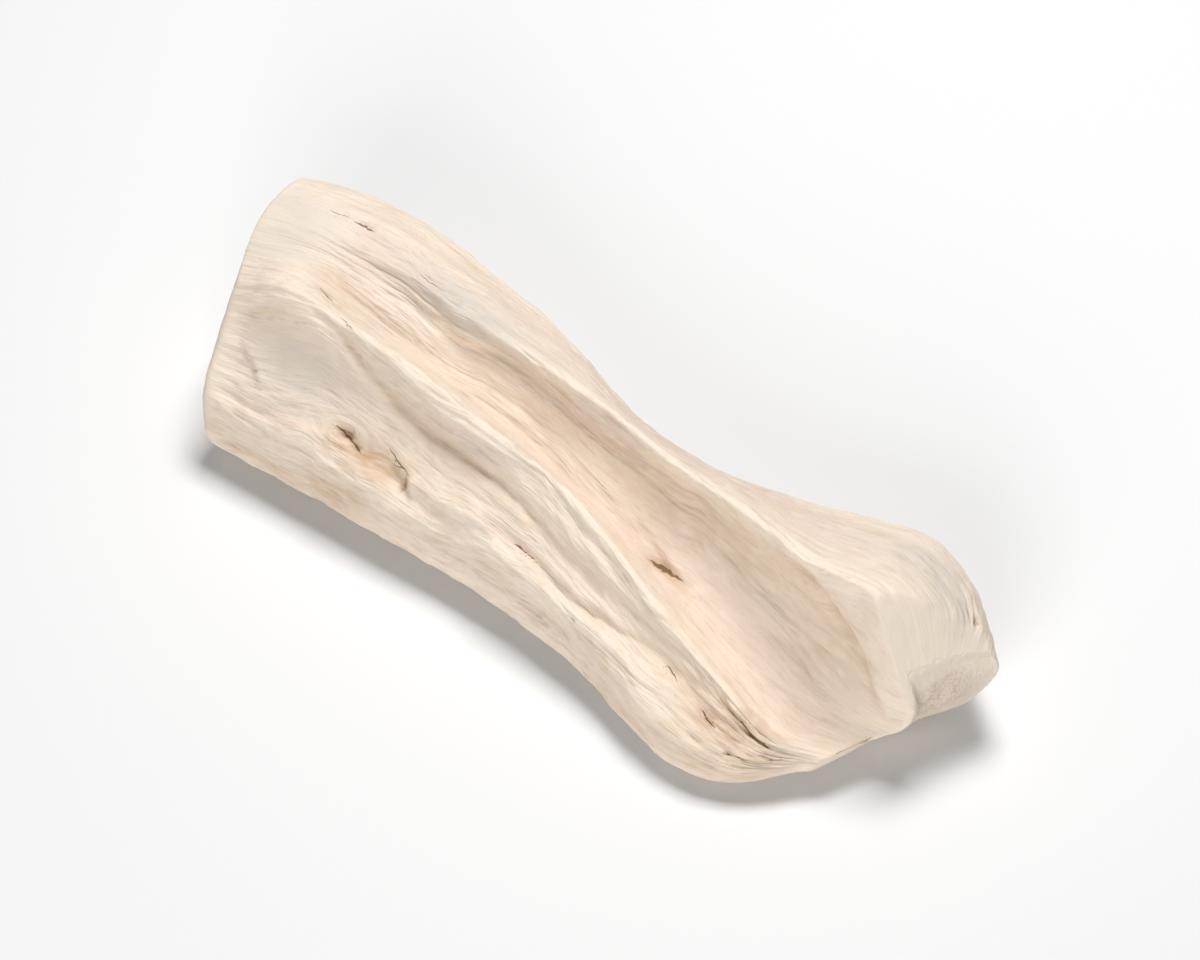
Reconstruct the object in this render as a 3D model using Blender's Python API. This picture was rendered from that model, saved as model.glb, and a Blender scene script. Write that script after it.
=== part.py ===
"""A chunk of weathered driftwood, one solid about 200 mm long, lying on its worn-flat underside.

The wood is a loft. Twelve grain lines run from its left end to its right end, and every ring of the
loft passes through all twelve in turn: up the front face, over the lower ridge, through the trough,
over the upper ridge, and down the back to the belly. Each end is closed by a blunt broken face.

Frame: +X along the wood from the broad left end to the bevelled right end, -Y towards its front
face, +Z up. The origin is the middle of the bounding box in plan, on the surface it rests on.
"""

import math

import bmesh
import bpy
import numpy as np

MM = 0.001
NAME = "driftwood"

# How finely the loft is cut.
RINGS = 54
STEPS_BETWEEN_LINES = 5
# 0 spaces the rings evenly, and more crowds them towards the two ends, where the shape turns.
END_CROWDING = 0.07

# The underside is worn flat this far above the lowest grain line.
WEAR_DEPTH = 1.5

# The broken ends: how far the edge of each is rounded over, and in how many rings.
LEFT_EDGE_RADIUS = 5.0
RIGHT_EDGE_RADIUS = 1.6
EDGE_RINGS = 3
FACE_RINGS = 4
# How far in over its face a rounded edge is carried, in radii.
EDGE_SWEEP = 2.5

# The middle of each broken face, x, y and z in millimetres.
LEFT_FACE_MIDDLE = (-99.0, 6.0, 25.0)
RIGHT_FACE_MIDDLE = (90.0, 14.0, 10.0)

# The flat breaks that shape the right end, each a point on it and the way it faces: the bevel that
# slopes down from the tip of the upper ridge, and the undercut below the bevel.
BREAKS = (
    ((80.0, 11.0, 44.0), (0.83, -0.19, 0.52)),
    ((94.5, 9.0, 21.0), (0.95, -0.25, -0.17)),
)

# Each grain line: its name, how crisp the wood is along it (0 is round, 1 is an edge), and its points
# from left to right, x, y and z in millimetres.
GRAIN_LINES = (
    ("front_foot", 0.3, (
        (-87, -25, 6), (-55, -23, 6), (-4, -20, 6), (22, -22, 6), (42, -26, 5), (58, -28, 4), (70, -23, 4),
        (79, -11, 5),
    )),
    ("front_low", 0.0, (
        (-89, -24, 17), (-54, -22, 16), (-28, -20, 16), (-2, -19, 16), (26, -21, 15), (48, -25, 14),
        (63, -25, 11), (73, -20, 9), (80, -11, 8),
    )),
    ("front_hollow", 0.0, (
        (-92, -15, 28), (-58, -10, 30), (-33, -7, 28), (-7, -9, 26), (19, -12, 23), (41, -15, 19),
        (59, -17, 14), (73, -16, 11), (81, -10, 9),
    )),
    ("lower_ridge", 0.6, (
        (-95, -6, 38), (-84, -5, 43), (-64, -3, 42), (-42, -2, 40), (-27, -2, 38), (-6, -2, 35),
        (17, -6, 31), (37, -11, 26), (57, -14, 19), (72, -14, 13), (82, -8, 10),
    )),
    ("trough", 0.0, (
        (-99, 0, 40), (-86, 2, 43), (-65, 5, 38), (-47, 6, 35), (-29, 7, 32), (-8, 6, 29),
        (11, 4, 26), (30, 1, 23), (49, -1, 19), (66, -1, 15), (78, 1, 11), (86, 2, 10),
    )),
    ("trough_wall", 0.0, (
        (-101, 4, 42), (-88, 7, 44), (-64, 12, 41), (-43, 13, 37), (-25, 14, 35), (-4, 13, 33),
        (16, 12, 32), (35, 10, 30), (53, 9, 27), (69, 8, 23), (84, 5, 17), (96, 7, 17),
    )),
    ("upper_ridge", 0.5, (
        (-103, 10, 44), (-92, 11, 46), (-68, 16, 45), (-45, 16, 44), (-28, 17, 42), (-14, 17, 42),
        (1, 16, 42), (14, 14, 42), (31, 13, 42), (50, 11, 43), (61, 10, 43), (70, 10, 44),
        (80, 11, 44), (90, 10, 41), (99, 8, 33),
    )),
    ("brow", 0.0, (
        (-104, 17, 45), (-93, 19, 47), (-78, 23, 47), (-58, 24, 45), (-38, 25, 42), (-21, 25, 40),
        (-4, 21, 39), (11, 19, 39), (28, 19, 39), (47, 20, 40), (63, 23, 40), (76, 24, 40),
        (86, 22, 38), (99, 17, 31),
    )),
    ("back_edge", 0.2, (
        (-105, 25, 43), (-94, 29, 44), (-80, 33, 43), (-67, 34, 42), (-53, 34, 39), (-33, 34, 35),
        (-21, 32, 33), (-8, 27, 33), (6, 25, 33), (21, 26, 32), (41, 31, 32), (61, 39, 32),
        (68, 42, 31), (77, 42, 29), (86, 38, 28), (93, 33, 27), (99, 28, 26),
    )),
    ("back_face", 0.0, (
        (-106, 29, 24), (-80, 38, 23), (-50, 38, 20), (-15, 32, 18), (8, 29, 18), (40, 34, 18), (70, 44, 17),
        (84, 41, 16), (98, 32, 15),
    )),
    ("back_foot", 0.3, (
        (-99, 24, 5), (-75, 32, 4), (-45, 31, 5), (-12, 25, 6), (10, 23, 6), (40, 28, 5), (68, 37, 4),
        (82, 36, 4), (93, 27, 6),
    )),
    ("belly", 0.0, (
        (-90, 0, 0), (-60, 4, -1), (-10, 2, 1), (20, 0, 1), (50, 3, -1), (66, 6, -1), (76, 8, 1),
    )),
)

WOOD_COLOUR = (0.80, 0.70, 0.56, 1.0)
WOOD_ROUGHNESS = 0.85


def slopes(knots, points):
    """The slope of a smooth curve at each inner knot, from the chords on its two sides."""
    chords = np.diff(points, axis=0) / np.diff(knots)[:, None]
    gaps = np.diff(knots)
    before, after = gaps[:-1, None], gaps[1:, None]
    return (chords[:-1] * after + chords[1:] * before) / (before + after), chords


def curve_through(knots, points, tangents, at):
    """Points at the parameters `at` on the cubic curve through `points` with those tangents."""
    span = np.clip(np.searchsorted(knots, at, side="right") - 1, 0, len(knots) - 2)
    gap = (knots[span + 1] - knots[span])[:, None]
    t = (at - knots[span])[:, None] / gap
    return (
        points[span] * (2 * t**3 - 3 * t**2 + 1)
        + tangents[span] * gap * (t**3 - 2 * t**2 + t)
        + points[span + 1] * (3 * t**2 - 2 * t**3)
        + tangents[span + 1] * gap * (t**3 - t**2)
    )


def along_grain(points, shares):
    """A grain line read at shares of its way from left to right, 0 to 1, measured along X."""
    points = np.array(points, float)
    knots = points[:, 0]
    inner, chords = slopes(knots, points)
    tangents = np.vstack([chords[:1], inner, chords[-1:]])
    return curve_through(knots, points, tangents, knots[0] + shares * (knots[-1] - knots[0]))


def around_wood(ring, crispness):
    """One closed ring of the loft, smooth through its grain lines but for the crisp ones."""
    lines = len(ring)
    wrapped = np.vstack([ring[-1:], ring, ring[:2]])
    # Knots spaced by the root of each chord keep a curve through uneven points from overshooting.
    knots = np.concatenate([[0.0], np.cumsum(np.sqrt(np.linalg.norm(np.diff(wrapped, axis=0), axis=1)))])
    inner, _ = slopes(knots, wrapped)
    roundness = 1.0 - np.append(crispness, crispness[0])
    tangents = np.zeros_like(wrapped)
    tangents[1:-1] = inner * roundness[:, None]
    steps = np.arange(lines * STEPS_BETWEEN_LINES)
    share = steps % STEPS_BETWEEN_LINES / STEPS_BETWEEN_LINES
    line = steps // STEPS_BETWEEN_LINES + 1
    at = knots[line] + share * (knots[line + 1] - knots[line])
    return curve_through(knots, wrapped, tangents, at)


def end_rings(rim, middle, radius):
    """Rings that close one end: the rim rounded over by `radius`, then in across the broken face."""
    middle = np.array(middle)
    inwards = middle - rim
    reach = np.linalg.norm(inwards[:, 1:], axis=1, keepdims=True)
    rings = []
    for k in range(1, EDGE_RINGS + 1):
        turn = k / EDGE_RINGS * math.pi / 2
        ring = rim.copy()
        ring[:, 1:] += inwards[:, 1:] / reach * radius * (1 - math.cos(turn))
        ring[:, :1] += inwards[:, :1] * math.sin(turn) * np.minimum(1.0, EDGE_SWEEP * radius / reach)
        rings.append(ring)
    edge = rings[-1]
    for k in range(1, FACE_RINGS):
        rings.append(edge + (middle - edge) * k / FACE_RINGS)
    return rings


def loft_mesh():
    """The rings joined into one closed skin, with a point at the middle of each end."""
    even = np.linspace(0.0, 1.0, RINGS)
    shares = even - END_CROWDING * np.sin(2 * math.pi * even)
    lines = np.array([along_grain(points, shares) for _, _, points in GRAIN_LINES])
    crispness = np.array([crisp for _, crisp, _ in GRAIN_LINES])
    body = [around_wood(lines[:, k], crispness) for k in range(RINGS)]
    left = end_rings(body[0], LEFT_FACE_MIDDLE, LEFT_EDGE_RADIUS)
    right = end_rings(body[-1], RIGHT_FACE_MIDDLE, RIGHT_EDGE_RADIUS)
    rings = left[::-1] + body + right

    bm = bmesh.new()
    skin = [[bm.verts.new(point * MM) for point in ring] for ring in rings]
    count = len(skin[0])
    for here, ahead in zip(skin, skin[1:]):
        for k in range(count):
            bm.faces.new((here[k], here[(k + 1) % count], ahead[(k + 1) % count], ahead[k]))
    for ring, middle in ((skin[0], LEFT_FACE_MIDDLE), (skin[-1], RIGHT_FACE_MIDDLE)):
        tip = bm.verts.new(np.array(middle) * MM)
        for k in range(count):
            bm.faces.new((ring[k], ring[(k + 1) % count], tip))
    bmesh.ops.recalc_face_normals(bm, faces=bm.faces)
    return bm


def cut_flat(bm, point, facing):
    """Cuts away the wood in front of a plane through `point`, and closes it with one flat face."""
    everything = bm.verts[:] + bm.edges[:] + bm.faces[:]
    cut = bmesh.ops.bisect_plane(bm, geom=everything, plane_co=point, plane_no=facing, clear_outer=True)
    rim = [part for part in cut["geom_cut"] if isinstance(part, bmesh.types.BMEdge)]
    bmesh.ops.contextual_create(bm, geom=rim)
    bmesh.ops.recalc_face_normals(bm, faces=bm.faces)


def break_right_end(bm):
    """The two flat breaks at the right end."""
    for point, facing in BREAKS:
        cut_flat(bm, np.array(point) * MM, facing)


def wear_underside_flat(bm):
    """Cuts the wood off at one level, so that it rests on a flat face."""
    level = min(vertex.co.z for vertex in bm.verts) + WEAR_DEPTH * MM
    cut_flat(bm, (0, 0, level), (0, 0, -1))


def rest_on_origin(bm):
    """Moves the wood so that the origin is under the middle of its box, at its lowest level."""
    points = np.array([vertex.co for vertex in bm.verts])
    low, high = points.min(axis=0), points.max(axis=0)
    middle = (low + high) / 2
    bmesh.ops.translate(bm, verts=bm.verts, vec=(-middle[0], -middle[1], -low[2]))


def wood_material():
    """Bleached bare wood: pale, warm and quite without gloss."""
    material = bpy.data.materials.new("bleached_wood")
    material.use_nodes = True
    shader = material.node_tree.nodes["Principled BSDF"]
    shader.inputs["Base Color"].default_value = WOOD_COLOUR
    shader.inputs["Roughness"].default_value = WOOD_ROUGHNESS
    shader.inputs["Metallic"].default_value = 0.0
    return material


def build_driftwood(collection):
    """The one piece of wood, as a closed mesh in the given collection."""
    bm = loft_mesh()
    break_right_end(bm)
    wear_underside_flat(bm)
    rest_on_origin(bm)
    mesh = bpy.data.meshes.new(NAME)
    bm.to_mesh(mesh)
    bm.free()
    mesh.shade_smooth()
    mesh.materials.append(wood_material())
    collection.objects.link(bpy.data.objects.new(NAME, mesh))


def main():
    for obj in list(bpy.data.objects):
        bpy.data.objects.remove(obj, do_unlink=True)
    collection = bpy.data.collections.new("piece_of_driftwood")
    bpy.context.scene.collection.children.link(collection)
    build_driftwood(collection)


main()
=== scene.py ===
"""A weathered chunk of bleached driftwood on a pale floor, in soft studio light.

It is laid out as an add-on and run as a script. The wood is lofted along its grain, then carved: the
furrows, checks, pits and knot that can be pointed at are cut one by one, and a Geometry Nodes tree
adds the relief that water and sand leave between them, which follows the grain everywhere. The
material reads the same grain, so that colour and relief agree.

Lengths are in millimetres up to the point where a mesh is made, which is in metres.
"""

import math

import bpy
import numpy as np
from bpy.props import FloatProperty, FloatVectorProperty, IntProperty, PointerProperty
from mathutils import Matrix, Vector


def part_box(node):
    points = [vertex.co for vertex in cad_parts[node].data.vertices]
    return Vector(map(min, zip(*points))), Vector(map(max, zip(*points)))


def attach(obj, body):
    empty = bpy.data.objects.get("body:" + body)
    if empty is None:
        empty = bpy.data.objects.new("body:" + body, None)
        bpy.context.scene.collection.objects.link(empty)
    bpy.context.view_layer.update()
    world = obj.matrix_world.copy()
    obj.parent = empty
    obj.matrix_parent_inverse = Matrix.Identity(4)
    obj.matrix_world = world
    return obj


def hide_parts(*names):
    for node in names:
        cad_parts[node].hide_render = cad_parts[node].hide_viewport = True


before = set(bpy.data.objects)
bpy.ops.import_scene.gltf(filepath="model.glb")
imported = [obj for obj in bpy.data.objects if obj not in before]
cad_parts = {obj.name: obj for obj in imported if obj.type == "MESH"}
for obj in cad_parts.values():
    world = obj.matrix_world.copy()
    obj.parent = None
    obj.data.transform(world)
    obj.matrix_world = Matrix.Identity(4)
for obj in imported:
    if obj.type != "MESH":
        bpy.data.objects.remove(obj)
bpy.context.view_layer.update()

bl_info = {
    "name": "Weathered Driftwood",
    "version": (1, 0, 0),
    "blender": (4, 5, 0),
    "location": "3D View > Sidebar > Driftwood",
    "description": "Builds a chunk of bleached driftwood and a studio to see it in",
    "category": "Add Mesh",
}

MM = 0.001
NODE = "driftwood"
PIECE = "weathered_driftwood"

# ---- The form of the wood ----

# How finely the loft is cut: rings along the wood, and rings over each end.
BODY_RINGS = 256
EDGE_RINGS = 8
FACE_RINGS = 14
# How far in over its face a rounded edge is carried, in radii.
EDGE_SWEEP = 2.5

# The broken ends: how far the edge of each is rounded over, and the middle of each broken face.
LEFT_EDGE_RADIUS = 5.0
RIGHT_EDGE_RADIUS = 1.6
LEFT_FACE_MIDDLE = (-99.0, 6.0, 25.0)
RIGHT_FACE_MIDDLE = (90.0, 14.0, 10.0)

# The two flat breaks that shape the right end, each a point on it and the way it faces: the bevel
# that slopes down from the tip of the upper ridge, and the undercut below the bevel.
BREAKS = (
    ((80.0, 11.0, 44.0), (0.83, -0.19, 0.52)),
    ((94.5, 9.0, 21.0), (0.95, -0.25, -0.17)),
)
BREAK_SOFTNESS = 0.5
# Wood that was taken off to this depth or more shows a wholly broken face.
BREAK_DEPTH = 2.0

# The wood is worn in passes of smoothing: towards each end over this length, and in each end face.
END_FADE = 9.0
END_WEAR = 6
FACE_WEAR = 150

# Each grain line: how crisp the wood is along it (0 is round, 1 is an edge), the number of steps the
# loft takes from it to the next line, and its points from left to right.
GRAIN_LINES = {
    "front_foot": (0.3, 24, (
        (-87, -25, 6), (-55, -23, 6), (-4, -20, 6), (22, -22, 6), (42, -26, 5), (58, -28, 4), (70, -23, 4),
        (79, -11, 5),
    )),
    "front_low": (0.0, 28, (
        (-89, -24, 17), (-54, -22, 16), (-28, -20, 16), (-2, -19, 16), (26, -21, 15), (48, -25, 14),
        (63, -25, 11), (73, -20, 9), (80, -11, 8),
    )),
    "front_hollow": (0.0, 28, (
        (-92, -15, 28), (-58, -10, 30), (-33, -7, 28), (-7, -9, 26), (19, -12, 23), (41, -15, 19),
        (59, -17, 14), (73, -16, 11), (81, -10, 9),
    )),
    "lower_ridge": (0.6, 26, (
        (-95, -6, 38), (-84, -5, 43), (-64, -3, 42), (-42, -2, 40), (-27, -2, 38), (-6, -2, 35),
        (17, -6, 31), (37, -11, 26), (57, -14, 19), (72, -14, 13), (82, -8, 10),
    )),
    "trough": (0.0, 30, (
        (-99, 0, 40), (-86, 2, 43), (-65, 5, 38), (-47, 6, 35), (-29, 7, 32), (-8, 6, 29),
        (11, 4, 26), (30, 1, 23), (49, -1, 19), (66, -1, 15), (78, 1, 11), (86, 2, 10),
    )),
    "trough_wall": (0.0, 34, (
        (-101, 4, 42), (-88, 7, 44), (-64, 12, 41), (-43, 13, 37), (-25, 14, 35), (-4, 13, 33),
        (16, 12, 32), (35, 10, 30), (53, 9, 27), (69, 8, 23), (84, 5, 17), (96, 7, 17),
    )),
    "upper_ridge": (0.5, 26, (
        (-103, 10, 44), (-92, 11, 46), (-68, 16, 45), (-45, 16, 44), (-28, 17, 42), (-14, 17, 42),
        (1, 16, 42), (14, 14, 42), (31, 13, 42), (50, 11, 43), (61, 10, 43), (70, 10, 44),
        (80, 11, 44), (90, 10, 41), (99, 8, 33),
    )),
    "brow": (0.0, 30, (
        (-104, 17, 45), (-93, 19, 47), (-78, 23, 47), (-58, 24, 45), (-38, 25, 42), (-21, 25, 40),
        (-4, 21, 39), (11, 19, 39), (28, 19, 39), (47, 20, 40), (63, 23, 40), (76, 24, 40),
        (86, 22, 38), (99, 17, 31),
    )),
    "back_edge": (0.2, 26, (
        (-105, 25, 43), (-94, 29, 44), (-80, 33, 43), (-67, 34, 42), (-53, 34, 39), (-33, 34, 35),
        (-21, 32, 33), (-8, 27, 33), (6, 25, 33), (21, 26, 32), (41, 31, 32), (61, 39, 32),
        (68, 42, 31), (77, 42, 29), (86, 38, 28), (93, 33, 27), (99, 28, 26),
    )),
    "back_face": (0.0, 22, (
        (-106, 29, 24), (-80, 38, 23), (-50, 38, 20), (-15, 32, 18), (8, 29, 18), (40, 34, 18), (70, 44, 17),
        (84, 41, 16), (98, 32, 15),
    )),
    "back_foot": (0.3, 26, (
        (-99, 24, 5), (-75, 32, 4), (-45, 31, 5), (-12, 25, 6), (10, 23, 6), (40, 28, 5), (68, 37, 4),
        (82, 36, 4), (93, 27, 6),
    )),
    "belly": (0.0, 28, (
        (-90, 0, 0), (-60, 4, -1), (-10, 2, 1), (20, 0, 1), (50, 3, -1), (66, 6, -1), (76, 8, 1),
    )),
}


def slopes(knots, points):
    """The slope of a smooth curve at each inner knot, and the chords that it is worked out from."""
    chords = np.diff(points, axis=0) / np.diff(knots)[:, None]
    gaps = np.diff(knots)
    before, after = gaps[:-1, None], gaps[1:, None]
    return (chords[:-1] * after + chords[1:] * before) / (before + after), chords


def curve_through(knots, points, tangents, at):
    """Points at the parameters `at` on the cubic curve through `points` with those tangents."""
    span = np.clip(np.searchsorted(knots, at, side="right") - 1, 0, len(knots) - 2)
    gap = (knots[span + 1] - knots[span])[:, None]
    t = (at - knots[span])[:, None] / gap
    return (
        points[span] * (2 * t**3 - 3 * t**2 + 1)
        + tangents[span] * gap * (t**3 - 2 * t**2 + t)
        + points[span + 1] * (3 * t**2 - 2 * t**3)
        + tangents[span + 1] * gap * (t**3 - t**2)
    )


def along_grain(points, shares):
    """A grain line read at shares of its way from left to right, 0 to 1, measured along X."""
    points = np.array(points, float)
    knots = points[:, 0]
    inner, chords = slopes(knots, points)
    tangents = np.vstack([chords[:1], inner, chords[-1:]])
    return curve_through(knots, points, tangents, knots[0] + shares * (knots[-1] - knots[0]))


def around_wood(ring, crispness, places):
    """One closed ring of the loft at those places, where place 2.5 is halfway from line 2 to 3."""
    wrapped = np.vstack([ring[-1:], ring, ring[:2]])
    # Knots spaced by the root of each chord keep a curve through uneven points from overshooting.
    knots = np.concatenate([[0.0], np.cumsum(np.sqrt(np.linalg.norm(np.diff(wrapped, axis=0), axis=1)))])
    inner, _ = slopes(knots, wrapped)
    roundness = 1.0 - np.append(crispness, crispness[0])
    tangents = np.zeros_like(wrapped)
    tangents[1:-1] = inner * roundness[:, None]
    line = places.astype(int) + 1
    at = knots[line] + (places % 1.0) * (knots[line + 1] - knots[line])
    return curve_through(knots, wrapped, tangents, at)


def end_rings(rim, middle, radius):
    """Rings that close one end: the rim rounded over by `radius`, then in across the broken face."""
    middle = np.array(middle)
    inwards = middle - rim
    reach = np.linalg.norm(inwards[:, 1:], axis=1, keepdims=True)
    rings = []
    for k in range(1, EDGE_RINGS + 1):
        turn = k / EDGE_RINGS * math.pi / 2
        ring = rim.copy()
        ring[:, 1:] += inwards[:, 1:] / reach * radius * (1 - math.cos(turn))
        ring[:, :1] += inwards[:, :1] * math.sin(turn) * np.minimum(1.0, EDGE_SWEEP * radius / reach)
        rings.append(ring)
    edge = rings[-1]
    for k in range(1, FACE_RINGS):
        rings.append(edge + (middle - edge) * k / FACE_RINGS)
    return rings


def among_neighbours(points):
    """The middle of the four neighbours of each point, on all rings but the first and last."""
    beside = (np.roll(points, 1, axis=1) + np.roll(points, -1, axis=1)) / 2
    return (beside[1:-1] + (points[2:] + points[:-2]) / 2) / 2


def soften(depth, softness):
    """`depth` where it is above nought and nought where it is below, with a soft turn between."""
    return softness * np.logaddexp(0.0, depth / softness)


class Loft:
    """The skin of the wood as a grid of points: rings from left to right, each from line to line.

    points[r, c] is a point, place[c] its place among the grain lines, along[r, c] its X before the
    ends were broken, and around[r, c] its distance round its ring, in millimetres, from line 0.
    shrink[r] is the size of ring r over an end face as a share of that end's rim.
    """

    def __init__(self):
        crispness, steps, lines = zip(*GRAIN_LINES.values())
        self.place = np.concatenate([line + np.arange(count) / count for line, count in enumerate(steps)])
        shares = np.linspace(0.0, 1.0, BODY_RINGS)
        lines = np.array([along_grain(points, shares) for points in lines])
        body = [around_wood(lines[:, k], crispness, self.place) for k in range(BODY_RINGS)]
        left = end_rings(body[0], LEFT_FACE_MIDDLE, LEFT_EDGE_RADIUS)
        right = end_rings(body[-1], RIGHT_FACE_MIDDLE, RIGHT_EDGE_RADIUS)
        self.points = np.array(left[::-1] + body + right)
        self.first, self.last = len(left), len(left) + BODY_RINGS - 1
        self.along = self.points[..., 0].copy()
        steps_round = np.linalg.norm(np.roll(self.points, -1, axis=1) - self.points, axis=2)
        self.round_length = steps_round.sum(axis=1)
        self.around = np.cumsum(steps_round, axis=1) - steps_round
        # On the end faces the rings shrink, but a place there keeps its distance round from the rim.
        self.shrink = np.ones(len(self.points))
        for rings, rim in ((slice(0, self.first), self.first), (slice(self.last + 1, None), self.last)):
            self.shrink[rings] = self.round_length[rings] / self.round_length[rim]
            self.around[rings] = self.around[rim]
            self.round_length[rings] = self.round_length[rim]

    def break_ends(self):
        """Pushes the wood that stands beyond each flat break back onto it, and wears the edges."""
        rim_left, rim_right = self.along[self.first], self.along[self.last]
        from_rim = np.minimum(self.along - rim_left, rim_right - self.along)
        self.end = np.clip(1.0 - from_rim / END_FADE, 0.0, 1.0) ** 2
        self.broken = np.zeros(self.along.shape)
        for point, facing in BREAKS:
            facing = np.array(facing) / np.linalg.norm(facing)
            depth = soften((self.points - point) @ facing, BREAK_SOFTNESS)
            self.points -= depth[..., None] * facing
            self.broken = np.maximum(self.broken, np.clip(depth / BREAK_DEPTH, 0.0, 1.0))
        self.wear(self.end, END_WEAR)
        self.wear(np.broadcast_to(1.0 - self.shrink[:, None], self.end.shape), FACE_WEAR)

    def wear(self, share, passes):
        """Draws each point towards the middle of its neighbours by its share, in so many passes."""
        for _ in range(passes):
            inner = self.points[1:-1]
            inner += share[1:-1, :, None] * (among_neighbours(self.points) - inner)
            # The innermost ring of each face moves as one.
            for last, following in ((0, 1), (-1, -2)):
                self.points[last] += (self.points[following] - self.points[last]).mean(axis=0)

    def outwards(self):
        """The unit direction out of the wood at each point."""
        across = np.roll(self.points, -1, axis=1) - np.roll(self.points, 1, axis=1)
        lengthwise = np.gradient(self.points, axis=0)
        out = np.cross(lengthwise, across)
        out /= np.maximum(np.linalg.norm(out, axis=2, keepdims=True), 1e-9)
        centre = self.points.mean(axis=1, keepdims=True)
        if ((self.points - centre) * out)[self.first:self.last].sum() < 0:
            out = -out
        return out

    def fit_frame(self):
        """Moves the wood over the middle of the solid's box, level with its top and as long."""
        low, high = (np.array(corner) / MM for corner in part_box(NODE))
        xs = self.points[..., 0]
        self.points[..., 0] = xs * (high[0] - low[0]) / (xs.max() - xs.min())
        mine_low, mine_high = self.points.min(axis=(0, 1)), self.points.max(axis=(0, 1))
        shift = (low + high) / 2 - (mine_low + mine_high) / 2
        shift[2] = high[2] - mine_high[2]
        self.points += shift


# ---- What is carved into it ----

# A place on the wood is (x, place): its X before the wood is moved into the frame, and its place
# among the grain lines, so that 3.5 is halfway from the lower ridge (3) to the trough (4).

# Furrows that water has worn along softer wood: half width, depth, and places along it.
FURROWS = {
    "hollow_left_of_front": (7, 1.3, ((-92, 2.3), (-80, 2.15), (-66, 2), (-50, 1.85))),
    "below_the_crest": (1.5, 1.3, (
        (-80, 2.95), (-66, 2.76), (-57, 2.45), (-46, 2.22), (-36, 2.07), (-23, 2.1), (-8, 2.13), (8, 1.96),
        (24, 1.9),
    )),
    "above_the_crest": (0.9, 0.7, (
        (-82, 3.85), (-71, 3.8), (-61, 3.62), (-46, 3.35), (-30, 3.12), (-14, 3.15),
    )),
    "along_front": (1.2, 1.1, (
        (-14, 1.6), (-3, 1.57), (4, 1.55), (15, 1.42), (30, 1.64), (42, 2), (52, 2.21), (60, 2.5),
    )),
    "out_of_the_knot": (3.4, 1.5, ((-56, 1.56), (-48, 1.5), (-40, 1.44), (-33, 1.42))),
    "under_the_ledge": (2, 0.9, ((-38, 1.3), (-28, 1.22), (-18, 1.24), (-8, 1.3))),
    "low_front": (2.4, 0.6, ((-70, 0.9), (-45, 0.85), (-15, 0.8), (15, 0.85), (45, 0.9))),
    "top_left": (3.4, 0.15, ((-98, 4.7), (-80, 4.7), (-62, 4.72), (-44, 4.95))),
    "top_mark": (1.3, 0.35, ((-66, 5.9), (-58, 6.1), (-46, 6.45))),
    "top_back": (2.2, 0.5, ((-100, 7.2), (-70, 7.3), (-35, 7.35), (0, 7.3))),
    "foot_of_the_wall": (1.6, 0.6, ((-56, 4.2), (-44, 4.5), (-30, 4.5), (-12, 4.7), (8, 4.7), (30, 4.6))),
    "trough_fold": (0.8, 0.6, ((-2, 4.55), (5, 4.6), (12, 4.58))),
    "trough_floor": (1.5, 0.5, ((-60, 4.1), (-30, 4), (0, 3.9), (18, 3.85))),
    "trough_right": (1.2, 0.6, ((32, 4.3), (50, 4.5), (66, 4.5), (80, 4.4))),
    "trough_right_low": (1, 0.5, ((36, 3.75), (50, 3.65), (64, 3.62), (76, 3.7))),
    "under_the_bevel": (1.8, 1.2, ((56, 5.75), (62, 5.6), (71, 5.36), (80, 5.24), (87, 5.05))),
    "lobe_line": (1.6, 0.8, ((42, 2.6), (56, 2.6), (66, 2.35), (78, 1.8))),
    "lobe_side": (1.4, 0.6, ((38, 1.2), (52, 1.15), (66, 1.1), (76, 1))),
    "back_upper": (3, 0.9, ((-85, 8.4), (-50, 8.35), (-10, 8.4), (30, 8.4), (70, 8.5))),
    "back_middle": (2, 0.8, ((-95, 8.9), (-60, 8.95), (-25, 9), (10, 8.95))),
    "back_lower": (2.6, 0.9, ((-60, 9.45), (-20, 9.4), (25, 9.45), (60, 9.5), (85, 9.45))),
    "back_slope": (1.8, 0.7, ((10, 7.5), (35, 7.45), (60, 7.5), (82, 7.6))),
}

# Ribs of harder wood left standing between the furrows, given in the same way.
RIBS = {
    "crest": (2.1, 1, (
        (-84, 3.5), (-71, 3.31), (-59, 3.04), (-45, 2.72), (-33, 2.62), (-20, 2.75), (-6, 2.85), (12, 2.95),
        (30, 3), (46, 3.1),
    )),
    "second": (2.4, 0.7, ((-24, 2.46), (-12, 2.46), (2, 2.42), (14, 2.39), (26, 2.42), (42, 2.75))),
    "low": (3, 0.8, ((-34, 1.5), (-22, 1.42), (-8, 1.3), (8, 1.25), (22, 1.25), (38, 1.35), (50, 1.5))),
    "upper": (2.4, 0.6, ((-46, 5.1), (-38, 5.5), (-28, 5.9), (-8, 6), (20, 6), (44, 5.95), (64, 5.9))),
    "back": (2.6, 0.6, ((-80, 8.65), (-45, 8.62), (-5, 8.66), (35, 8.7), (70, 8.75))),
}

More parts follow.
